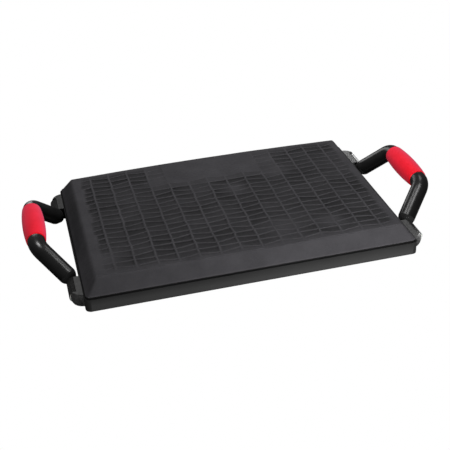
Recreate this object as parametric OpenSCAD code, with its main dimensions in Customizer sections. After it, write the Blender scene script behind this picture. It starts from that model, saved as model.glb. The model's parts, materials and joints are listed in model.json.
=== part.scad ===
// Kneeling board: a moulded tray with a thick bevelled foam pad and a folding carry handle at each end.
// Millimetres. +Z up, +X towards the right handle, -Y towards the front.
// The origin is on the floor, below the middle of the board.

/* [Board] */
// Length of the tray, end to end without the hinge housings
board_l = 520; // [460:5:600]
// Width of the tray, front to back
board_w = 351; // [330:1:400]
// Corner radius of the tray in plan
board_r = 9; // [7:1:20]
// Height of the foam pad above the tray
pad_h = 24.4; // [18:0.2:34]
// How far the pad's end slopes lean in, from the seam to the top
pad_lean_x = 18.5; // [10:0.5:26]
// How far the pad's front and back slopes lean in
pad_lean_y = 15.5; // [10:0.5:26]

/* [Tray] */
// Height of the seam between tray and pad above the floor
seam_z = 23; // [22:0.5:27]
// Wall of the skirt and thickness of the deck
tray_wall = 3; // [2.5:0.1:3.5]
// Spacing of the ribs that run front to back
rib_pitch_x = 55; // [50:1:56]
// Spacing of the ribs that run end to end
rib_pitch_y = 50; // [48:1:51]

/* [Handle] */
// Outside diameter of the handle tube
tube_d = 27.5; // [24:0.5:27.5]
// Wall of the handle tube
tube_wall = 1.5; // [1.2:0.1:2]
// Reach from the pivot axis to the middle of the cross tube
handle_reach = 62.6; // [58:0.1:75]
// Half the distance between the legs where they cross the pivot axis
leg_y = 97.5; // [96:0.1:98]
// Half the distance between the corners where leg and cross tube meet
corner_y = 62.5; // [60:0.5:64]
// Bend radius of the tube's centreline
bend_r = 21; // [18:0.5:22]
// Angle of the handles above level
handle_angle = 47.4; // [14:0.1:74]
// Length of the grip sleeve
grip_l = 97; // [70:1:97]
// How far the grip's middle sits behind the middle of the cross tube
grip_back = 1.4; // [0:0.1:1.5]
// Largest diameter of the grip
grip_d = 35.5; // [32:0.5:38]

/* [Hinge] */
// Distance of the pivot axis outside the tray's end
pivot_out = 11.3; // [11.2:0.1:13]
// Height of the pivot axis above the floor
pivot_z = 11.5; // [11.4:0.1:12]
// Radius of the knuckle's barrel
barrel_r = 8.8; // [8:0.1:8.8]
// Radius of the housing's rounded side and end
housing_r = 20; // [19.5:0.5:22]
// Diameter of the pivot pin
pin_d = 6; // [5:0.5:6.5]

/* [Hidden] */
$fn = 64;

plastic_black = [0.17, 0.17, 0.17];
plastic_grey = [0.33, 0.33, 0.33];
foam_grey = [0.22, 0.22, 0.24];
rubber_black = [0.08, 0.08, 0.08];
gloss_black = [0.06, 0.06, 0.06];
grip_red = [0.85, 0.08, 0.14];
zinc = [0.72, 0.73, 0.75];
nylon = [0.85, 0.84, 0.8];

fit_gap = 0.05;              // gap between two pieces that are pushed or screwed together
eps = 0.01;                  // overshoot of a cut past the face it opens

// Tray
end_x = board_l / 2;
side_y = board_w / 2;
skirt_z = 1;                 // lower edge of the skirt, clear of the floor
groove_h = 1.4;              // height of the shadow groove under the pad
groove_in = 4;               // depth of that groove, from the tray's outline
rim_z = seam_z - groove_h;
deck_z = seam_z - groove_h - tray_wall;
rib_t = 2;
foot_h = 3.5;                // height of a foot below the tray's ribs
rib_z = foot_h + 0.5;
rib_count_x = floor((end_x - 30) / rib_pitch_x);
rib_count_y = floor((side_y - 20) / rib_pitch_y);

// Pad
pad_gap = 2;                 // how far the pad's lower edge stands in from the tray's outline
pad_corner_low = board_r - pad_gap;
pad_corner_top = 4;

// Feet
foot_r = 12;
foot_stem_r = 4;
foot_stem_h = 9;
foot_x = end_x - 67.5;
foot_y = side_y - 25.5;
boss_wall = 1.5;

// Hinge housing
pivot_x = end_x + pivot_out;
housing_top = seam_z - 1;
housing_low = skirt_z + 0.5;
housing_y0 = 107;            // inner end of the housing
housing_yc = 141.5;          // middle of the rounded end
housing_xc = end_x - 1.5;    // middle of the rounded side
trough_end = 147;
trough_r = barrel_r + 0.5;
lip_x = end_x + 9;           // the housing's top strip ends here, and the trough opens
tongue_in = 28;              // the tongue reaches this far under the deck
tongue_y0 = 112;
tongue_y1 = 142;
tongue_z = 6.5;

// Bracket screws
screw_r = 2;
screw_head_r = 4;
screw_head_h = 2.5;
screw_x = end_x - 16;
screw_ys = [119, 135];
screw_seat_z = 4.2;
screw_tip_z = deck_z - 2.5;
screw_boss_r = 5.5;

// Pivot
pin_r = pin_d / 2;
pin_gap = 0.06;
pin_y0 = 120;
pin_y1 = 151.5;
barrel_y0 = 96;
barrel_y1 = trough_end - 1;
washer_t = 0.9;
washer_r = barrel_r - 0.8;

// Handle, in its own plane: x away from the pivot axis, y along it, z square to the plane
tube_r = tube_d / 2;
leg_turn = atan2(handle_reach, leg_y - corner_y);       // turn of the bend
leg_l = norm([handle_reach, leg_y - corner_y]);
bend_t = bend_r * tan(leg_turn / 2);                    // corner to the start of the bend
cross_y = corner_y - bend_t;                            // half the straight part of the cross tube
tube_s = 9.6;                // the tube starts this far from the pivot axis, along the leg
spigot_l = 20;
spigot_r = tube_r - tube_wall - fit_gap;
knuckle_screw_s = tube_s + 10;
knuckle_screw_r = 1.6;
knuckle_screw_l = 9;
knuckle_screw_head_r = 3;
knuckle_screw_head_h = 1.1;  // less than the tube's wall, so that the head sits flush in it
grip_end_d = 30;
join_step = 0.01;            // how much thinner the tube's straights are than its bends
join_overlap = 0.05;         // how far the straights run into the bends

module rounded_plate(l, w, r, h) {
    linear_extrude(height = h) {
        square([l - 2 * r, w], center = true);
        square([l, w - 2 * r], center = true);
        for (sx = [-1, 1], sy = [-1, 1])
            translate([sx * (l / 2 - r), sy * (w / 2 - r)]) circle(r = r);
    }
}

// Copies a right-hand front piece to the side and end asked for
module placed(side, end) {
    mirror([side < 0 ? 1 : 0, 0, 0])
        mirror([0, end > 0 ? 1 : 0, 0])
            children();
}

// Both ends of one side
module both_ends(side) {
    for (end = [-1, 1]) placed(side, end) children();
}

// From a handle's own plane to its place at rest, on the right
module at_pivot() {
    translate([pivot_x, 0, pivot_z]) rotate([0, -handle_angle, 0]) children();
}

// A length along a front leg, from s0 to s1, as a straight or tapered rod
module along_leg(s0, s1, r0, r1) {
    translate([0, -leg_y, 0])
        rotate([0, 0, -leg_turn])
            translate([0, s0, 0])
                rotate([-90, 0, 0]) cylinder(h = s1 - s0, r1 = r0, r2 = r1);
}

module rib_grid() {
    rib_h = deck_z - rib_z + eps;
    for (i = [-rib_count_x : rib_count_x])
        translate([i * rib_pitch_x - rib_t / 2, -side_y + tray_wall - eps, rib_z])
            cube([rib_t, board_w - 2 * tray_wall + 2 * eps, rib_h]);
    for (j = [-rib_count_y : rib_count_y])
        translate([-end_x + tray_wall - eps, j * rib_pitch_y - rib_t / 2, rib_z])
            cube([board_l - 2 * tray_wall + 2 * eps, rib_t, rib_h]);
}

module at_feet() {
    for (x = [-foot_x, 0, foot_x], y = [-foot_y, foot_y]) translate([x, y, 0]) children();
}

module at_bracket_screws(side) {
    both_ends(side) for (y = screw_ys) translate([screw_x, -y, 0]) children();
}

module tray_shell() {
    difference() {
        translate([0, 0, skirt_z]) rounded_plate(board_l, board_w, board_r, rim_z - skirt_z);
        translate([0, 0, skirt_z - 1])
            rounded_plate(board_l - 2 * tray_wall, board_w - 2 * tray_wall, board_r - tray_wall,
                deck_z - skirt_z + 1);
    }
    translate([0, 0, rim_z - eps])
        rounded_plate(board_l - 2 * groove_in, board_w - 2 * groove_in, board_r - groove_in,
            seam_z - rim_z + eps);
}

module base_tray() {
    color(plastic_black)
    difference() {
        union() {
            tray_shell();
            rib_grid();
            at_feet() translate([0, 0, foot_h + fit_gap])
                cylinder(h = deck_z - foot_h, r = foot_r + boss_wall);
            for (side = [-1, 1]) at_bracket_screws(side) translate([0, 0, tongue_z + fit_gap])
                cylinder(h = deck_z - tongue_z, r = screw_boss_r);
        }
        at_feet() translate([0, 0, foot_h - 1])
            cylinder(h = foot_stem_h + 2, r = foot_stem_r + fit_gap);
        for (side = [-1, 1]) at_bracket_screws(side) translate([0, 0, tongue_z - 1])
            cylinder(h = screw_tip_z - tongue_z + 2, r = screw_r + fit_gap);
        // The bracket tongues pass through these notches in the end skirts
        for (side = [-1, 1]) both_ends(side)
            translate([end_x - tray_wall - 1, -tongue_y1 - fit_gap, 0])
                cube([tray_wall + 2, tongue_y1 - tongue_y0 + 2 * fit_gap, tongue_z + fit_gap]);
    }
}

module foam_pad() {
    low_l = board_l - 2 * pad_gap;
    low_w = board_w - 2 * pad_gap;
    slab = 0.5;
    color(foam_grey) hull() {
        translate([0, 0, seam_z]) rounded_plate(low_l, low_w, pad_corner_low, slab, $fn = 32);
        translate([0, 0, seam_z + pad_h - slab])
            rounded_plate(low_l - 2 * pad_lean_x, low_w - 2 * pad_lean_y, pad_corner_top, slab,
                $fn = 32);
    }
}

module rubber_feet() {
    color(rubber_black) at_feet() {
        cylinder(h = foot_h, r = foot_r);
        cylinder(h = foot_h + foot_stem_h, r = foot_stem_r);
    }
}

// Outside of a right-hand front housing: a bar with a rounded side, closed by a rounded end
module housing_form() {
    intersection() {
        translate([end_x, -housing_yc - housing_r - 1, housing_low])
            cube([housing_r + 1, housing_yc + housing_r + 1 - housing_y0, housing_top - housing_low]);
        union() {
            translate([housing_xc, -housing_yc, pivot_z])
                rotate([-90, 0, 0]) cylinder(h = housing_yc, r = housing_r);
            translate([housing_xc, -housing_yc, pivot_z]) sphere(r = housing_r);
        }
    }
}

// The tongue slides under the tray's deck, and two screws hold it from below
module bracket_tongue() {
    translate([end_x - tongue_in, -tongue_y1, housing_low])
        cube([tongue_in + 1, tongue_y1 - tongue_y0, tongue_z - housing_low]);
}

module bracket() {
    color(plastic_grey)
    difference() {
        union() {
            housing_form();
            bracket_tongue();
        }
        // Trough for the knuckle's barrel, open above and outside
        translate([pivot_x, -trough_end, pivot_z])
            rotate([-90, 0, 0]) cylinder(h = trough_end, r = trough_r);
        translate([lip_x, -trough_end, 0]) cube([housing_r, trough_end, housing_top + 1]);
        // Blind seat of the pivot pin
        translate([pivot_x, -pin_y1 - 0.3, pivot_z])
            rotate([-90, 0, 0]) cylinder(h = pin_y1, r = pin_r + 0.02);
        for (y = screw_ys) translate([screw_x, -y, 0]) {
            cylinder(h = tongue_z + 1, r = screw_r + 0.2);
            cylinder(h = screw_seat_z, r = screw_head_r + 0.3);
        }
    }
}

module bracket_screws(side) {
    color(zinc) at_bracket_screws(side) {
        translate([0, 0, screw_seat_z - screw_head_h]) cylinder(h = screw_head_h, r = screw_head_r);
        translate([0, 0, screw_seat_z - eps])
            cylinder(h = screw_tip_z - screw_seat_z, r = screw_r);
    }
}

module pivot_pins(side) {
    color(zinc) both_ends(side) translate([pivot_x, -pin_y1, pivot_z])
        rotate([-90, 0, 0]) cylinder(h = pin_y1 - pin_y0, r = pin_r);
}

// Nylon washers between a barrel and its trough's end, which hold the handle at any angle
module friction_washers(side) {
    color(nylon) both_ends(side) translate([pivot_x, -trough_end + fit_gap, pivot_z])
        rotate([-90, 0, 0]) difference() {
            cylinder(h = washer_t, r = washer_r);
            translate([0, 0, -1]) cylinder(h = washer_t + 2, r = pin_r + 0.1);
        }
}

// Moulded end of a handle: a spigot in the tube, a shoulder, and the barrel that turns on the pin
module knuckle() {
    color(gloss_black) at_pivot() difference() {
        union() {
            translate([0, -barrel_y1, 0])
                rotate([-90, 0, 0]) cylinder(h = barrel_y1 - barrel_y0, r = barrel_r);
            translate([0, -barrel_y0, 0]) sphere(r = barrel_r);
            leg_shoulder();
            along_leg(tube_s - eps, tube_s + spigot_l, spigot_r, spigot_r);
        }
        translate([0, -barrel_y1 - 1, 0])
            rotate([-90, 0, 0]) cylinder(h = barrel_y1 + 1.5 - pin_y0, r = pin_r + pin_gap);
        at_knuckle_screw() cylinder(h = knuckle_screw_l + 0.5, r = knuckle_screw_r + fit_gap);
    }
}

// Half a ball, as thick as the tube, below the tube's lower end
module leg_shoulder() {
    translate([0, -leg_y, 0]) rotate([0, 0, -leg_turn]) translate([0, tube_s, 0])
        intersection() {
            sphere(r = tube_r);
            rotate([90, 0, 0]) cylinder(h = tube_r + 1, r = tube_r + 1);
        }
}

// Onto the underside of a front leg, where a screw goes up into the spigot
module at_knuckle_screw() {
    translate([0, -leg_y, 0])
        rotate([0, 0, -leg_turn])
            translate([0, knuckle_screw_s, -tube_r]) children();
}

// A rod along the whole of a bent handle; extra makes its two lower ends overshoot.
// The straights are a hair thinner than the bends and run into them, so that all join as one solid.
module bent_rod(r, extra = 0) {
    straight_r = r - join_step;
    translate([handle_reach, 0, 0])
        rotate([90, 0, 0])
            cylinder(h = 2 * (cross_y + join_overlap), r = straight_r, center = true);
    for (end = [-1, 1]) mirror([0, end > 0 ? 1 : 0, 0]) {
        translate([handle_reach - bend_r, -cross_y, 0])
            rotate([0, 0, -leg_turn])
                rotate_extrude(angle = leg_turn) translate([bend_r, 0]) circle(r = r);
        along_leg(tube_s + fit_gap - extra, leg_l - bend_t + join_overlap, straight_r, straight_r);
    }
}

module handle_tube(side) {
    color(gloss_black) placed(side, -1) at_pivot() difference() {
        bent_rod(tube_r);
        bent_rod(tube_r - tube_wall, 1);
        for (end = [-1, 1]) mirror([0, end > 0 ? 1 : 0, 0]) at_knuckle_screw()
            translate([0, 0, -1]) cylinder(h = tube_wall + 2, r = knuckle_screw_head_r + fit_gap);
    }
}

module knuckle_screws(side) {
    head_z = tube_wall - knuckle_screw_head_h;
    color(zinc) both_ends(side) at_pivot() at_knuckle_screw() {
        translate([0, 0, head_z]) cylinder(h = knuckle_screw_head_h, r = knuckle_screw_head_r);
        translate([0, 0, tube_wall - eps]) cylinder(h = knuckle_screw_l - tube_wall, r = knuckle_screw_r);
    }
}

// Barrel-shaped sleeve: one arc bulges from the end diameter to the middle
module grip(side) {
    bulge = (grip_d - grip_end_d) / 2;
    steps = 14;
    color(grip_red) placed(side, -1) at_pivot() translate([handle_reach, grip_back, 0])
        rotate([90, 0, 0]) rotate_extrude() polygon(concat(
            [[tube_r + fit_gap, grip_l / 2], [tube_r + fit_gap, -grip_l / 2]],
            [for (i = [0 : steps])
                let (t = 2 * i / steps - 1)
                    [grip_end_d / 2 + bulge * (1 - t * t), t * grip_l / 2]]));
}

base_tray();
foam_pad();
rubber_feet();
placed(-1, -1) bracket();  // left_front_bracket
placed(-1, 1) bracket();  // left_rear_bracket
placed(1, -1) bracket();  // right_front_bracket
placed(1, 1) bracket();  // right_rear_bracket
bracket_screws(-1);  // left_bracket_screws
bracket_screws(1);  // right_bracket_screws
pivot_pins(-1);  // left_pivot_pins
pivot_pins(1);  // right_pivot_pins
friction_washers(-1);  // left_friction_washers
friction_washers(1);  // right_friction_washers
placed(-1, -1) knuckle();  // left_front_knuckle
placed(-1, 1) knuckle();  // left_rear_knuckle
placed(1, -1) knuckle();  // right_front_knuckle
placed(1, 1) knuckle();  // right_rear_knuckle
handle_tube(-1);  // left_handle_tube
handle_tube(1);  // right_handle_tube
knuckle_screws(-1);  // left_knuckle_screws
knuckle_screws(1);  // right_knuckle_screws
grip(-1);  // left_grip
grip(1);  // right_grip
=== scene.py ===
"""Kneeling board: the soft pieces, materials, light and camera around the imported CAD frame.

Metres, +Z up, +X towards the right handle, -Y towards the front, as in the frame. The sizes of the pad,
its tread and the grips are given in millimetres.
"""

import json
import math

import bpy
import numpy as np
from mathutils import Matrix, Vector, noise


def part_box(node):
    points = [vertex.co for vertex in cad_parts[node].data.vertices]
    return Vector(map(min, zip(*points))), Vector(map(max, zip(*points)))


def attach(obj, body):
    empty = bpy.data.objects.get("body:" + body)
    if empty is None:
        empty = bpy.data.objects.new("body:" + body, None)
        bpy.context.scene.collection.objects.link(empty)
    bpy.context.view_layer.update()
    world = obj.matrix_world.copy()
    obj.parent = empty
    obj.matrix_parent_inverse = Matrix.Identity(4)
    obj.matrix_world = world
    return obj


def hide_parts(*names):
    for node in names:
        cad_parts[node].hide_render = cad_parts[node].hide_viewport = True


MM = 0.001

# Pad, in millimetres
PAD_LEAN = (18.5, 15.5)      # how far the end and long slopes lean in
PAD_CORNER_LOW = 7.0         # radius of the upright corners at the seam
PAD_CORNER_TOP = 4.0         # and where the slopes reach the top
PAD_ARCH = 3.4               # the back edge stands this much higher in the middle than at the ends
PAD_CROWN = 0.4              # the top stands this much higher in the middle than at the long edges
PAD_BOW = (3.0, 2.0)         # the front and back edges of the top bulge outwards by this much
PAD_UNEVEN = 0.3             # the skin is uneven by this much
UNEVEN_SIZE = 55.0           # in hills and hollows of about this size
PAD_LIFT = 0.05              # air between pad and tray

# Rings of the pad's slope, from the seam up: (share of the lean, share of the height)
SEAM_RINGS = [(0.15, 0.0), (0.15, 0.045), (0.02, 0.055), (0.025, 0.07)]
SLOPE_RINGS = [(share, share) for share in (0.15, 0.35, 0.55, 0.70)]
ROUND_START = 0.82           # share of the lean and height where the rounding of the top edge begins
ROUND_END = 1.18             # share of the lean where it ends, level with the top
ROUND_STEPS = 6

# Tread of the pad's top: ridges run front to back, ribs run end to end
RIDGE_PITCH = 32.0
RIDGE_COUNT = 14
RIDGE_HALF = (1.0, 1.7, 2.4)  # flat top, middle and foot of a ridge's side
RIB_PITCH = 14.15
RIB_LAST = 10                # ribs are numbered from -10 to 10; odd ones run straight
RIB_HALF = (0.6, 1.1, 1.6)
CHEVRON = 3.5                # rise of the even ribs at every second ridge
WAVER = 0.9                  # how far a crossing of ridge and rib strays
WARP_FADE = 12.0             # chevrons and straying die out over this length at the two ends
ROW_DRIFT = 1.2              # per mm of arch, the rows sit this much further forward
DRIFT_START = 3.0            # the drift begins to die out this far before the tread's back edge
DRIFT_FADE = 8.0             # and does so over this length
TREAD_LEFT = -229.0          # edges of the treaded area
TREAD_RIGHT = 234.0
TREAD_FRONT = -154.5
TREAD_BACK = 155.0
TREAD_DEPTH = 1.8
END_FADE = 7.0               # the tread runs out over this length at its two ends
FRONT_FADE = 22.0            # over this length at its front
BACK_FADE = 9.0              # and over this length at its back
END_RAGGED = 5.0             # a cell may stop up to this much before the others
CELL_DEPTH = (0.7, 1.0)      # least and most share of the depth that a cell gets
FLOOR_SLOPE = 0.45           # share of the depth that a cell's floor loses towards its front rib
PLAIN_COLUMNS = (5, 9)       # a plain field is left free of tread in these columns
PLAIN_FROM_RIB = 6           # behind this rib
PLAIN_SHALLOW = 0.45         # share of the depth left in the cells around the plain field

# Wear of the tread
WORN_SPOTS = [               # x, y and radius
    (62, -103, 50), (20, 38, 34), (100, 72, 34), (-100, 98, 30), (-215, -120, 46), (140, -108, 34),
]
WORN_LEFT = 0.25             # share of the depth left in the middle of a worn spot
WEAR_SIZE = 62.0             # elsewhere the tread is worn a little, in patches of about this size
WEAR_MEAN = 0.95             # share of the depth left there on average
WEAR_SWING = 0.5             # and by how much it changes over the patches
WEAR_LIMITS = (0.65, 1.0)

# Lines of the pad's grid, besides those of the ridges and ribs
LINES_IN_COLUMN = (0.16, 0.33, 0.5, 0.67, 0.84)              # shares of the ridge pitch
LINES_IN_ROW = (0.3, 0.5, 0.7)                               # shares of the rib pitch
LINES_PAST_RIDGES = (5, 8, 11, 13.5, 16, 18.5, 21, 24, 27)   # beyond the first and last ridge
LINE_PAST_RIBS = 4.5         # beyond the first and last rib
LINE_PAST_EDGE = 0.8         # beyond the tread's front and back edge
LINE_IN_FRONT = 4.0          # inside the tread's front edge

# Chance
PAD_SEED = 7
ROWS_AHEAD = RIB_LAST + 2    # rows of random values before and behind the middle, two of them to spare
HILLS_LAYER = 3.1            # height at which the noise is cut for the hills

# Grips, in millimetres
GRIP_BORE = 13.8
BORE_CHAMFER = (0.3, 0.6)    # across and along
GRIP_END_R = 15.0
GRIP_SWELL = 2.2             # power of the barrel's curve
GRIP_LIP = 1.6               # rounding of the sleeve's ends
GRIP_STEPS = 40              # steps along the barrel
LIP_STEPS = 8                # round a lip
GRIP_TURN_STEPS = 72         # and round the sleeve
GRIP_GLOW = 0.20             # painted light: a weak glow of the sleeve's own that makes the red bright

# Softening of the CAD nodes that stay in sight: bevel width in millimetres and segments
BEVELS = {
    "tray_plastic": (1.0, 3),
    "bracket_plastic": (0.8, 3),
    "knuckle_plastic": (0.5, 2),
    "foot_rubber": (0.6, 2),
    "zinc_steel": (0.25, 2),
}
BEVEL_ANGLE = 35.0           # edges flatter than this, in degrees, aren't bevelled
WELD_GAP = 0.002             # points nearer than this, in millimetres, are joined

# Camera, in millimetres and degrees
CAMERA_TARGET = (-17.7, -49.5, 32.5)
CAMERA_AZIMUTH = -13.20      # from the front, negative towards the left
CAMERA_ELEVATION = 30.93
CAMERA_ROLL = -2.595
CAMERA_DISTANCE = 1488.7
CAMERA_LENS = 74.45
CAMERA_SENSOR = 36.0

# Studio, in metres and watts
FLOOR_HALF = 6.0
FLOOR_GAP = 0.0002           # keeps the floor off the feet's undersides
FLOOR_BOUNCE = 0.08          # grey of the floor, as the object sees it
SKY_FILL = 0.09              # light that comes from all around
BOARD = (0.0, 0.0, 0.02)     # what a lamp points at
HANDLES = (0.0, 0.0, 0.05)
LEFT_LEG = (-0.29, -0.09, 0.05)
RIGHT_LEG = (0.29, -0.09, 0.05)
BROAD_LAMPS = [              # name, place, width, height and power
    ("key_front_right", (0.23, -0.62, 0.18), 0.26, 0.20, 4.0),
    ("fill_front_left", (-0.9, -1.0, 0.25), 0.6, 0.4, 3.7),
    ("top_back_right", (0.22, 0.75, 1.25), 0.8, 0.7, 22.0),
]
SIDE_LAMP = ("right_side", (1.2, 0.1, 0.06), 0.5, 0.3, 17.0)
LOW_LAMP = ("low_back_right", (0.70, 0.82, 0.18), 0.4, 0.3, 2.2)
TUBE_LAMPS = [               # name, place, side, power and what it points at
    ("streak_right", (0.23, -0.27, 0.60), 0.21, 1.25, RIGHT_LEG),
    ("streak_left", (0.39, 0.14, 0.60), 0.24, 0.62, LEFT_LEG),
    ("bend_left", (-0.38, -0.12, 0.90), 0.28, 4.2, LEFT_LEG),
    ("rim_back", (-0.4, 1.6, 0.6), 0.8, 4.8, HANDLES),
]


# ---------------------------------------------------------------- materials

class Shader:
    """Short calls for building one material's node tree."""

    def __init__(self, name):
        self.material = bpy.data.materials.new(name)
        self.material.use_nodes = True
        self.tree = self.material.node_tree
        self.main = self.tree.nodes["Principled BSDF"]
        self.place = self.add("ShaderNodeTexCoord").outputs["Object"]

    def add(self, kind, **inputs):
        """Adds a node. In the inputs' names, an underscore stands for a space."""
        node = self.tree.nodes.new(kind)
        for name, value in inputs.items():
            self.put(node.inputs[name.replace("_", " ")], value)
        return node

    def put(self, socket, value):
        if isinstance(value, bpy.types.NodeSocket):
            self.tree.links.new(value, socket)
        else:
            socket.default_value = value

    def set(self, **inputs):
        for name, value in inputs.items():
            self.put(self.main.inputs[name.replace("_", " ")], value)

    def noise(self, size_mm, detail=2.0, roughness=0.5, stretch=(1, 1, 1)):
        """Clouds of about the size given, mostly between 0.3 and 0.7."""
        mapping = self.add("ShaderNodeMapping", Vector=self.place, Scale=stretch)
        node = self.add("ShaderNodeTexNoise", Vector=mapping.outputs[0], Scale=1 / (size_mm * MM),
                        Detail=detail, Roughness=roughness)
        return node.outputs[0]

    def grains(self, size_mm):
        """Rounded grains, 0 in the middle of each."""
        node = self.add("ShaderNodeTexVoronoi", Vector=self.place, Scale=1 / (size_mm * MM))
        return node.outputs[0]

    def spread(self, value, low, high, low_in=0.3, high_in=0.7):
        """Maps low_in to low and high_in to high, and stops there."""
        node = self.add("ShaderNodeMapRange", Value=value, From_Min=low_in, From_Max=high_in,
                        To_Min=low, To_Max=high)
        return node.outputs[0]

    def math(self, operation, a, b=0.0):
        node = self.add("ShaderNodeMath")
        node.operation = operation
        self.put(node.inputs[0], a)
        self.put(node.inputs[1], b)
        return node.outputs[0]

    def mix(self, share, a, b):
        """Colour a, with this share of it taken by colour b."""
        node = self.add("ShaderNodeMix")
        node.data_type = "RGBA"
        self.put(node.inputs[0], share)
        self.put(node.inputs[6], a)
        self.put(node.inputs[7], b)
        return node.outputs[2]

    def edges(self, low, high):
        """Near 1 on outside edges, 0 elsewhere."""
        point = self.add("ShaderNodeNewGeometry").outputs["Pointiness"]
        return self.spread(point, 0.0, 1.0, low, high)

    def attribute(self, name):
        node = self.add("ShaderNodeAttribute")
        node.attribute_name = name
        return node.outputs["Fac"]

    def bump(self, height, depth_mm, strength=1.0, under=None):
        """Relief of this depth, laid over another one where that is given."""
        node = self.add("ShaderNodeBump", Height=height, Distance=depth_mm * MM, Strength=strength)
        if under is not None:
            self.put(node.inputs["Normal"], under)
        return node.outputs[0]


def grey(value, tint=(1.0, 1.0, 1.0)):
    return (value * tint[0], value * tint[1], value * tint[2], 1.0)


def foam_material():
    s = Shader("pad_foam")
    tint = (1.0, 0.97, 1.05)
    cloud = s.spread(s.noise(32, 3.0), 0.0, 1.0)
    fleck = s.spread(s.noise(1.3, 3.0, 0.7), 0.0, 1.0, 0.35, 0.65)
    skin = s.mix(cloud, grey(0.035, tint), grey(0.047, tint))
    skin = s.mix(s.math("MULTIPLY", fleck, 0.3), skin, grey(0.062, tint))
    # Painted shade: the tread's cells are darkened in step with how deep they sink, darkest just in front
    # of the rib behind.
    sunk = s.attribute("sunk")
    skin = s.mix(s.math("MULTIPLY", sunk, 0.9), skin, grey(0.012))
    # Painted highlight: the tread's sharp edges, ridges and ribs, are lightened as if catching glancing
    # light.
    skin = s.mix(s.math("MULTIPLY", s.edges(0.505, 0.56), 0.4), skin, grey(0.08, tint))
    pores = s.bump(s.grains(0.7), 0.05, 0.5)
    soft = s.bump(s.noise(6, 2.0), 0.12, 0.5, pores)
    s.set(Base_Color=skin, Normal=soft, Specular_IOR_Level=0.25,
          Roughness=s.spread(s.noise(5, 3.0), 0.52, 0.68))
    return s.material


def tray_material():
    s = Shader("tray_plastic")
    cloud = s.spread(s.noise(60, 3.0), 0.0, 1.0)
    skin = s.mix(cloud, grey(0.011), grey(0.015))
    skin = s.mix(s.math("MULTIPLY", s.edges(0.51, 0.58), 0.5), skin, grey(0.065))
    scuff = s.spread(s.noise(3, 4.0, 0.6, (0.15, 0.15, 1.0)), 0.0, 1.0, 0.55, 0.75)
    skin = s.mix(s.math("MULTIPLY", scuff, 0.07), skin, grey(0.08))
    grain = s.bump(s.grains(0.55), 0.03, 0.5)
    s.set(Base_Color=skin, Normal=s.bump(s.noise(25, 1.0), 0.2, 0.25, grain),
          Roughness=s.spread(s.noise(9, 3.0), 0.38, 0.5), Specular_IOR_Level=0.3)
    return s.material


def bracket_material():
    s = Shader("bracket_plastic")
    blotch = s.spread(s.noise(2.6, 3.0, 0.65), 0.0, 1.0, 0.38, 0.62)
    skin = s.mix(blotch, grey(0.027), grey(0.062))
    skin = s.mix(s.math("MULTIPLY", s.edges(0.51, 0.58), 0.4), skin, grey(0.12))
    pebbles = s.bump(s.grains(0.9), 0.07, 0.7)
    s.set(Base_Color=skin, Normal=s.bump(s.noise(2.2, 2.0), 0.12, 0.6, pebbles),
          Roughness=s.spread(s.noise(3, 3.0), 0.42, 0.6))
    return s.material


def knuckle_material():
    s = Shader("knuckle_plastic")
    skin = s.mix(s.spread(s.noise(12, 3.0), 0.0, 1.0), grey(0.012), grey(0.020))
    skin = s.mix(s.math("MULTIPLY", s.edges(0.51, 0.6), 0.4), skin, grey(0.06))
    s.set(Base_Color=skin, Normal=s.bump(s.noise(1.5, 2.0, 0.6), 0.03, 0.5),
          Roughness=s.spread(s.noise(5, 3.0), 0.24, 0.4))
    return s.material


def tube_material():
    s = Shader("tube_paint")
    skin = s.mix(s.spread(s.noise(20, 3.0), 0.0, 1.0), grey(0.010), grey(0.016))
    dust = s.spread(s.noise(1.2, 3.0, 0.7), 0.0, 1.0, 0.6, 0.8)
    skin = s.mix(s.math("MULTIPLY", dust, 0.06), skin, grey(0.04))
    peel = s.bump(s.noise(4, 1.0), 0.03, 0.12)
    s.set(Base_Color=skin, Normal=peel, Roughness=s.spread(s.noise(8, 3.0), 0.27, 0.31))
    return s.material


def grip_material():
    s = Shader("grip_rubber")
    cloud = s.spread(s.noise(14, 2.0), 0.0, 1.0)
    skin = s.mix(cloud, (0.60, 0.004, 0.009, 1.0), (0.68, 0.007, 0.018, 1.0))
    scuff = s.spread(s.noise(1.4, 3.0, 0.7), 0.0, 1.0, 0.6, 0.8)
    skin = s.mix(s.math("MULTIPLY", scuff, 0.10), skin, (0.85, 0.12, 0.16, 1.0))
    # Painted sheen: towards grazing angles the red is turned pinkish violet, as a sheen would look.
    painted_sheen_mask = s.add("ShaderNodeLayerWeight", Blend=0.35).outputs["Facing"]
    skin = s.mix(s.math("MULTIPLY", s.math("POWER", painted_sheen_mask, 2.2), 0.95), skin, (0.55, 0.13, 0.27, 1.0))
    stipple = s.bump(s.grains(0.6), 0.04, 0.5)
    # Painted light: the emission makes the sleeve glow weakly, in place of lamp light on its red.
    s.set(Base_Color=skin, Normal=s.bump(s.noise(4, 2.0), 0.05, 0.4, stipple),
          Roughness=s.spread(s.noise(5, 3.0), 0.36, 0.5), Specular_IOR_Level=0.35,
          Sheen_Weight=0.12, Sheen_Roughness=0.3, Sheen_Tint=(1.0, 0.5, 0.7, 1.0),
          Emission_Color=(0.9, 0.003, 0.010, 1.0), Emission_Strength=GRIP_GLOW)
    return s.material


def foot_material():
    s = Shader("foot_rubber")
    skin = s.mix(s.spread(s.noise(5, 3.0), 0.0, 1.0), grey(0.012), grey(0.024))
    s.set(Base_Color=skin, Normal=s.bump(s.noise(0.8, 3.0), 0.06, 0.6),
          Roughness=s.spread(s.noise(4, 3.0), 0.65, 0.85))
    return s.material


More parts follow.
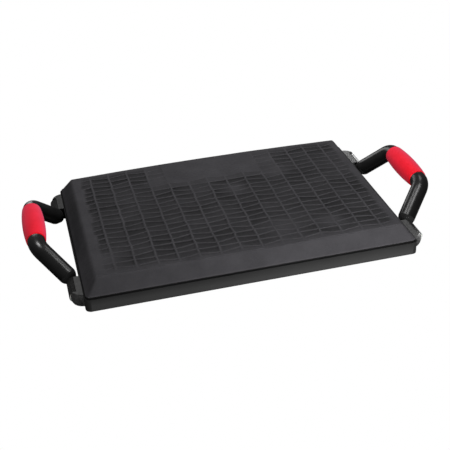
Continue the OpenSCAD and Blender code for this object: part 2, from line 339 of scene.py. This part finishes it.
def zinc_material():
    s = Shader("zinc_steel")
    spangle = s.spread(s.grains(1.8), 0.0, 1.0, 0.1, 0.7)
    skin = s.mix(spangle, (0.50, 0.51, 0.53, 1.0), (0.68, 0.69, 0.70, 1.0))
    s.set(Base_Color=skin, Metallic=1.0, Normal=s.bump(s.noise(0.5, 2.0, 0.5, (1, 1, 6)), 0.01, 0.5),
          Roughness=s.spread(s.noise(2, 3.0), 0.28, 0.45))
    return s.material


def nylon_material():
    s = Shader("washer_nylon")
    skin = s.mix(s.spread(s.noise(3, 2.0), 0.0, 1.0), (0.72, 0.70, 0.63, 1.0), (0.80, 0.79, 0.73, 1.0))
    s.set(Base_Color=skin, Subsurface_Weight=0.1, Normal=s.bump(s.noise(0.6, 2.0), 0.02, 0.5),
          Roughness=s.spread(s.noise(2, 2.0), 0.4, 0.55))
    return s.material


MATERIAL_MAKERS = {
    "foam": foam_material,
    "tray_plastic": tray_material,
    "bracket_plastic": bracket_material,
    "knuckle_plastic": knuckle_material,
    "tube_paint": tube_material,
    "grip_rubber": grip_material,
    "foot_rubber": foot_material,
    "zinc_steel": zinc_material,
    "washer_nylon": nylon_material,
}
MATERIALS = {slot: make() for slot, make in MATERIAL_MAKERS.items()}


# ---------------------------------------------------------------- meshes

def mesh_piece(name, points, faces, slot, body, *nodes):
    """A smooth-shaded piece from points in metres, which rides on a body and stands for CAD nodes."""
    mesh = bpy.data.meshes.new(name)
    mesh.from_pydata([tuple(p) for p in points], [], faces)
    mesh.shade_smooth()
    mesh.materials.append(MATERIALS[slot])
    piece = bpy.data.objects.new(name, mesh)
    bpy.context.scene.collection.objects.link(piece)
    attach(piece, body)
    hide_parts(*nodes)
    return piece


def smooth_step(x):
    x = np.clip(x, 0.0, 1.0)
    return x * x * (3 - 2 * x)


def hills(x, y, size):
    """Gentle random hills and hollows, between -1 and 1, of about the size given."""
    places = zip(x.ravel() / size, y.ravel() / size)
    heights = [noise.noise(Vector((px, py, HILLS_LAYER))) for px, py in places]
    return np.array(heights).reshape(x.shape)


# ---------------------------------------------------------------- pad

def ridge_places():
    return [(k - (RIDGE_COUNT - 1) / 2) * RIDGE_PITCH for k in range(RIDGE_COUNT)]


def around(centre, halves):
    """Lines across a ridge or rib: its middle and the three marks of each side."""
    return [centre] + [centre + s * h for h in halves for s in (-1, 1)]


def tread_lines_x():
    ridges = ridge_places()
    lines = []
    for x in ridges:
        lines += around(x, RIDGE_HALF)
    for x in ridges[:-1]:
        lines += [x + RIDGE_PITCH * share for share in LINES_IN_COLUMN]
    for side in (-1, 1):
        lines += [side * (ridges[-1] + step) for step in LINES_PAST_RIDGES]
    return sorted(lines)


def tread_lines_y():
    lines = []
    for n in range(-RIB_LAST, RIB_LAST + 1):
        lines += around(n * RIB_PITCH, RIB_HALF)
    for n in range(-RIB_LAST, RIB_LAST):
        lines += [(n + share) * RIB_PITCH for share in LINES_IN_ROW]
    foot = RIB_HALF[2] - RIB_HALF[0]
    past_ribs = RIB_LAST * RIB_PITCH + LINE_PAST_RIBS
    for side, edge in ((-1, -TREAD_FRONT), (1, TREAD_BACK)):
        lines += [side * y for y in (past_ribs, edge - foot, edge - foot / 2, edge, edge + LINE_PAST_EDGE)]
    lines.append(TREAD_FRONT + LINE_IN_FRONT)
    return sorted(lines)


def wall(distance, halves):
    """0 on top of a ridge or rib, 1 in the sunk cell beside it."""
    return smooth_step((distance - halves[0]) / (halves[2] - halves[0]))


def tread_depth(x, y, rng):
    """How far each point of the unwarped grid sinks below the skin, as a share of the full depth."""
    ridges = np.array(ridge_places())
    to_ridge = np.abs(x[..., None] - ridges).min(-1)
    row = y / RIB_PITCH
    to_rib = np.abs(row - np.clip(np.round(row), -RIB_LAST, RIB_LAST)) * RIB_PITCH
    depth = wall(to_ridge, RIDGE_HALF) * wall(to_rib, RIB_HALF)
    depth *= 1 - FLOOR_SLOPE * (1 - (row - np.floor(row)))
    column = np.searchsorted(ridges, x)
    cell = np.floor(row).astype(int)
    shape = (RIDGE_COUNT + 1, 2 * ROWS_AHEAD)
    place = (column, cell + ROWS_AHEAD)
    depth *= rng.uniform(*CELL_DEPTH, shape)[place]
    to_end = np.minimum(TREAD_RIGHT - x, x - TREAD_LEFT) - rng.uniform(0.0, END_RAGGED, shape)[place]
    depth *= smooth_step(to_end / END_FADE)
    depth *= smooth_step((y - TREAD_FRONT) / FRONT_FADE)
    depth *= smooth_step((TREAD_BACK - y) / BACK_FADE)
    for margin, share in ((1, PLAIN_SHALLOW), (0, 0.0)):
        first, last = PLAIN_COLUMNS[0] - margin, PLAIN_COLUMNS[1] + margin
        plain = (column >= first) & (column <= last) & (cell >= PLAIN_FROM_RIB - margin)
        depth[plain] *= share
    for cx, cy, radius in WORN_SPOTS:
        near = np.hypot(x - cx, y - cy) / radius
        depth *= WORN_LEFT + (1 - WORN_LEFT) * smooth_step(near)
    return depth * np.clip(WEAR_MEAN + WEAR_SWING * hills(x, y, WEAR_SIZE), *WEAR_LIMITS)


def at_knots(values, pitch, row):
    """Values given at the crossings of ridges and ribs, blended evenly between them."""
    k = np.clip(np.floor(pitch).astype(int) + 1, 0, values.shape[0] - 2)
    n = np.clip(np.floor(row).astype(int) + ROWS_AHEAD, 0, values.shape[1] - 2)
    u = np.clip(pitch + 1 - k, 0, 1)
    v = np.clip(row + ROWS_AHEAD - n, 0, 1)
    low = values[k, n] * (1 - u) + values[k + 1, n] * u
    high = values[k, n + 1] * (1 - u) + values[k + 1, n + 1] * u
    return low * (1 - v) + high * v


def tread_warp(x, y, rng):
    """Moves the straight grid so that even ribs run in chevrons, and all of it wavers a little."""
    pitch = x / RIDGE_PITCH + (RIDGE_COUNT - 1) / 2
    row = y / RIB_PITCH
    zigzag = 1 - 2 * np.abs((pitch % 2) - 1)
    even = np.abs(row % 2 - 1)
    last = RIB_LAST * RIB_PITCH
    inside = smooth_step(np.minimum(TREAD_RIGHT - x, x - TREAD_LEFT) / WARP_FADE)
    inside *= 1 - smooth_step((y - last) / (TREAD_BACK - last))
    inside *= 1 - smooth_step((-y - last) / (-TREAD_FRONT - last))
    knots = rng.uniform(-WAVER, WAVER, (2, RIDGE_COUNT + 3, 2 * ROWS_AHEAD + 2))
    shift_x = at_knots(knots[0], pitch, row)
    shift_y = at_knots(knots[1], pitch, row) - CHEVRON * zigzag * even
    return x + shift_x * inside, y + shift_y * inside


def slope_profile():
    """From the pad's lower edge to its top skin: (share of the lean, share of the height) of each ring."""
    rings = SEAM_RINGS + SLOPE_RINGS
    for i in range(ROUND_STEPS + 1):
        t = i / ROUND_STEPS
        begin, bend, finish = (1 - t) ** 2, 2 * t * (1 - t), t * t
        rings.append((begin * ROUND_START + bend + finish * ROUND_END, begin * ROUND_START + bend + finish))
    return rings


def place_slopes(points, lines, half, height):
    """Places the rings of points around the top's grid, from the lower edge in."""
    rings = slope_profile()
    count = len(rings)
    reach = np.array([np.abs(line).max() for line in lines])
    for i, (lean, rise) in enumerate(rings):
        edge = half - np.array(PAD_LEAN) * lean
        level = height * rise
        for side, index in ((-1, i), (1, -1 - i)):
            points[index, count:-count] = [(side * edge[0], y, level) for y in lines[1]]
            points[count:-count, index] = [(x, side * edge[1], level) for x in lines[0]]

        radius = min(PAD_CORNER_LOW + (PAD_CORNER_TOP - PAD_CORNER_LOW) * lean, *(edge - reach))
        quarter = math.radians(90)
        for j in range(i, count):
            turn = quarter / 2 * (1 - (j - i) / (count - i))
            for ix, iy, angle in ((i, j, turn), (j, i, quarter - turn)):
                x, y = edge - radius + radius * np.array([math.cos(angle), math.sin(angle)])
                for sx, px in ((-1, ix), (1, -1 - ix)):
                    for sy, py in ((-1, iy), (1, -1 - iy)):
                        points[px, py] = (sx * x, sy * y, level)


def swell_pad(points, sunk, half, height):
    """Arches, crowns and bows the straight pad, and sinks its tread."""
    x, y, z = (points[..., axis].copy() for axis in range(3))
    rise = z / height
    middle = 1 - (x / half[0]) ** 2
    arch = PAD_ARCH * middle * (y / half[1] + 1) / 2
    swell = arch + PAD_CROWN * (1 - (y / half[1]) ** 2)
    bow = np.where(y < 0, -PAD_BOW[0], PAD_BOW[1]) * smooth_step(np.abs(y) / half[1])
    bowed = y + rise * middle * bow
    drift = ROW_DRIFT * arch * (1 - smooth_step((bowed - TREAD_BACK + DRIFT_START) / DRIFT_FADE))
    points[..., 1] = bowed - rise * drift
    points[..., 2] += rise * (swell + PAD_UNEVEN * hills(x, y, UNEVEN_SIZE)) - TREAD_DEPTH * sunk


def pad_mesh():
    """The pad as one grid of points: its slopes' rings outside, and the treaded top inside them."""
    low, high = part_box("foam_pad")
    half = np.array([high.x - low.x, high.y - low.y]) / 2 / MM
    height = (high.z - low.z) / MM
    rng = np.random.default_rng(PAD_SEED)
    count = len(slope_profile())
    lines = [np.array(tread_lines_x()), np.array(tread_lines_y())]
    gx, gy = np.meshgrid(*lines, indexing="ij")
    depth = tread_depth(gx, gy, rng)
    wx, wy = tread_warp(gx, gy, rng)

    size = [len(line) + 2 * count for line in lines]
    points = np.zeros((size[0], size[1], 3))
    sunk = np.zeros(size)
    inner = (slice(count, -count), slice(count, -count))
    points[inner] = np.stack([wx, wy, np.full_like(wx, height)], -1)
    sunk[inner] = depth
    place_slopes(points, lines, half, height)
    swell_pad(points, sunk, half, height)
    points *= MM
    points[..., 2] += low.z + PAD_LIFT * MM
    return points, sunk


def grid_faces(nx, ny):
    """The faces of a grid of nx by ny points."""
    faces = []
    for i in range(nx - 1):
        for j in range(ny - 1):
            a = i * ny + j
            faces.append((a, a + ny, a + ny + 1, a + 1))
    return faces


def rim_of_grid(nx, ny):
    """The grid's outer points, in the order that makes a face looking down."""
    left = [j for j in range(ny)]
    back = [i * ny + ny - 1 for i in range(1, nx)]
    right = [(nx - 1) * ny + j for j in range(ny - 2, -1, -1)]
    front = [i * ny for i in range(nx - 2, 0, -1)]
    return tuple(left + back + right + front)


def build_pad():
    """The pad, closed below. Its points carry how far they are sunk, which also sets the painted shade that
    darkens the foam's cells.
    """
    points, sunk = pad_mesh()
    nx, ny = sunk.shape
    faces = grid_faces(nx, ny) + [rim_of_grid(nx, ny)]
    pad = mesh_piece("foam_pad_tread", points.reshape(-1, 3), faces, "foam", "board", "foam_pad")
    mark = pad.data.attributes.new("sunk", "FLOAT", "POINT")
    mark.data.foreach_set("value", sunk.ravel().astype(np.float32))


# ---------------------------------------------------------------- grips

def grip_profile(half_length, middle_r):
    """(place along the grip, radius), from one end of the bore, round the outside and back through it."""
    bulge = middle_r - GRIP_END_R
    outside = []
    for i in range(GRIP_STEPS + 1):
        along = (2 * i / GRIP_STEPS - 1) * (half_length - GRIP_LIP)
        outside.append((along, GRIP_END_R + bulge * (1 - abs(along / half_length) ** GRIP_SWELL)))
    end = []
    edge_r = outside[-1][1]
    for i in range(1, LIP_STEPS + 1):
        angle = math.radians(90 * i / LIP_STEPS)
        end.append((half_length - GRIP_LIP + GRIP_LIP * math.sin(angle),
                    edge_r - GRIP_LIP * (1 - math.cos(angle))))
    start = [(-along, radius) for along, radius in reversed(end)]
    wide, deep = BORE_CHAMFER
    throat = [(half_length, GRIP_BORE + wide), (half_length - deep, GRIP_BORE)]
    mouth = [(-along, radius) for along, radius in reversed(throat)]
    return start + outside + end + throat + mouth


def build_grip(side):
    """One red sleeve: its profile turned round the middle of the CAD grip, along Y."""
    node = side + "_grip"
    low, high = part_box(node)
    centre = (low + high) / 2
    profile = grip_profile((high.y - low.y) / 2 / MM, (high.x - low.x) / 2 / MM)
    points = []
    for along, radius in profile:
        for k in range(GRIP_TURN_STEPS):
            angle = 2 * math.pi * k / GRIP_TURN_STEPS
            points.append((centre.x + radius * MM * math.cos(angle), centre.y + along * MM,
                           centre.z + radius * MM * math.sin(angle)))
    faces = []
    for i in range(len(profile)):
        a, b = i * GRIP_TURN_STEPS, (i + 1) % len(profile) * GRIP_TURN_STEPS
        for k in range(GRIP_TURN_STEPS):
            n = (k + 1) % GRIP_TURN_STEPS
            faces.append((a + k, a + n, b + n, b + k))
    sleeve = mesh_piece(side + "_grip_sleeve", points, faces, "grip_rubber", side + "_handle", node)
    sleeve.visible_diffuse = False    # the black parts beside it stay free of a red cast
    sleeve.visible_glossy = False


# ---------------------------------------------------------------- CAD nodes that stay

def dress_node(node, slot):
    """Gives a CAD node its material, and soft edges where its kind has them."""
    piece = frame["nodes"][node]
    piece.data.materials.clear()
    piece.data.materials.append(MATERIALS[slot])
    weld = piece.modifiers.new("weld", "WELD")
    weld.merge_threshold = WELD_GAP * MM
    if slot in BEVELS:
        width, segments = BEVELS[slot]
        bevel = piece.modifiers.new("soft_edges", "BEVEL")
        bevel.width = width * MM
        bevel.segments = segments
        bevel.limit_method = "ANGLE"
        bevel.angle_limit = math.radians(BEVEL_ANGLE)
    normals = piece.modifiers.new("even_normals", "WEIGHTED_NORMAL")
    normals.keep_sharp = True
    normals.weight = 100


# ---------------------------------------------------------------- stage, light and camera

def seen_white(tree, output, hidden):
    """Pure white where the camera looks straight at it, and the hidden shader for all other rays."""
    kind = "ShaderNodeEmission" if output.type == "OUTPUT_MATERIAL" else "ShaderNodeBackground"
    white = tree.nodes.new(kind)
    white.inputs["Color"].default_value = (1.0, 1.0, 1.0, 1.0)
    ray = tree.nodes.new("ShaderNodeLightPath")
    choose = tree.nodes.new("ShaderNodeMixShader")
    tree.links.new(ray.outputs["Is Camera Ray"], choose.inputs[0])
    tree.links.new(hidden.outputs[0], choose.inputs[1])
    tree.links.new(white.outputs[0], choose.inputs[2])
    tree.links.new(choose.outputs[0], output.inputs[0])


def build_floor():
    mesh = bpy.data.meshes.new("floor")
    signs = ((-1, -1), (1, -1), (1, 1), (-1, 1))
    corners = [(sx * FLOOR_HALF, sy * FLOOR_HALF, -FLOOR_GAP) for sx, sy in signs]
    mesh.from_pydata(corners, [], [(0, 1, 2, 3)])
    floor = bpy.data.objects.new("floor", mesh)
    bpy.context.scene.collection.objects.link(floor)
    s = Shader("floor_pale")
    s.set(Base_Color=grey(FLOOR_BOUNCE), Roughness=0.9, Specular_IOR_Level=0.0)
    seen_white(s.tree, s.tree.nodes["Material Output"], s.main)
    mesh.materials.append(s.material)


def build_world():
    world = bpy.data.worlds.new("studio")
    world.use_nodes = True
    sky = world.node_tree.nodes["Background"]
    sky.inputs["Color"].default_value = (1.0, 1.0, 1.0, 1.0)
    sky.inputs["Strength"].default_value = SKY_FILL
    seen_white(world.node_tree, world.node_tree.nodes["World Output"], sky)
    bpy.context.scene.world = world


def add_softbox(name, place, width, height, watts, aim=BOARD, diffuse=True, glossy=True):
    """A rectangular lamp that points at its aim, and works in diffuse light, in reflections or in both."""
    light = bpy.data.lights.new(name, "AREA")
    light.shape = "RECTANGLE"
    light.size = width
    light.size_y = height
    light.energy = watts
    lamp = bpy.data.objects.new(name, light)
    bpy.context.scene.collection.objects.link(lamp)
    lamp.location = place
    lamp.rotation_euler = (Vector(aim) - Vector(place)).to_track_quat("-Z", "Y").to_euler()
    lamp.visible_diffuse = diffuse
    lamp.visible_glossy = glossy
    return lamp


def link_lamp(lamp, slots, state):
    """Lets a lamp light only the CAD nodes of these materials, or everything but them."""
    nodes = bpy.data.collections.new("linked_to_" + lamp.name)
    for part in frame["record"]["subparts"]:
        if part["material_slot"] in slots:
            nodes.objects.link(frame["nodes"][part["node"]])
    for member in nodes.collection_objects:
        member.light_linking.link_state = state
    lamp.light_linking.receiver_collection = nodes


def build_lights():
    """Broad lamps shape the matt surfaces, and small ones draw the highlights on the painted tubes.

    The side lamp lights the brackets and their steel, and the low lamp only shows in brackets and knuckles.
    """
    for name, place, width, height, watts in BROAD_LAMPS:
        lamp = add_softbox(name, place, width, height, watts, glossy=False)
        link_lamp(lamp, ["tube_paint"], "EXCLUDE")
    side = add_softbox(*SIDE_LAMP)
    link_lamp(side, ["bracket_plastic", "zinc_steel"], "INCLUDE")
    low = add_softbox(*LOW_LAMP, diffuse=False)
    link_lamp(low, ["bracket_plastic", "knuckle_plastic"], "INCLUDE")
    for name, place, size, watts, aim in TUBE_LAMPS:
        lamp = add_softbox(name, place, size, size, watts, aim=aim)
        link_lamp(lamp, ["tube_paint"], "INCLUDE")


def add_camera():
    """The camera looks at its target and is rolled about its own line of sight."""
    azimuth, elevation, roll = (math.radians(a) for a in (CAMERA_AZIMUTH, CAMERA_ELEVATION, CAMERA_ROLL))
    back = Vector((math.sin(azimuth) * math.cos(elevation), -math.cos(azimuth) * math.cos(elevation),
                   math.sin(elevation)))
    level = Vector((0, 0, 1)).cross(back).normalized()
    upright = back.cross(level)
    right = math.cos(roll) * level + math.sin(roll) * upright
    up = math.cos(roll) * upright - math.sin(roll) * level
    place = (Vector(CAMERA_TARGET) + CAMERA_DISTANCE * back) * MM
    data = bpy.data.cameras.new("camera")
    data.lens = CAMERA_LENS
    data.sensor_width = CAMERA_SENSOR
    camera = bpy.data.objects.new("camera", data)
    bpy.context.scene.collection.objects.link(camera)
    turn = Matrix((right, up, back)).transposed().to_4x4()
    camera.matrix_world = Matrix.Translation(place) @ turn
    bpy.context.scene.camera = camera


# ---------------------------------------------------------------- build

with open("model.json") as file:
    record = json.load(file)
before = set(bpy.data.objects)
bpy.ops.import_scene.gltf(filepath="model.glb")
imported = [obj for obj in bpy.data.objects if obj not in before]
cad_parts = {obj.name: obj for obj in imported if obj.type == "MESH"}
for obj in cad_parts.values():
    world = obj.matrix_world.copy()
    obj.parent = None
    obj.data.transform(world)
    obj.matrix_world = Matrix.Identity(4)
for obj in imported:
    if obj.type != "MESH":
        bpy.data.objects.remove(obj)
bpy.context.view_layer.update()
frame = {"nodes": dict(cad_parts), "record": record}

for part in frame["record"]["subparts"]:
    dress_node(part["node"], part["material_slot"])
build_pad()
for side in ("left", "right"):
    build_grip(side)
build_floor()
build_world()
build_lights()
add_camera()
bpy.context.scene.view_settings.view_transform = "Standard"
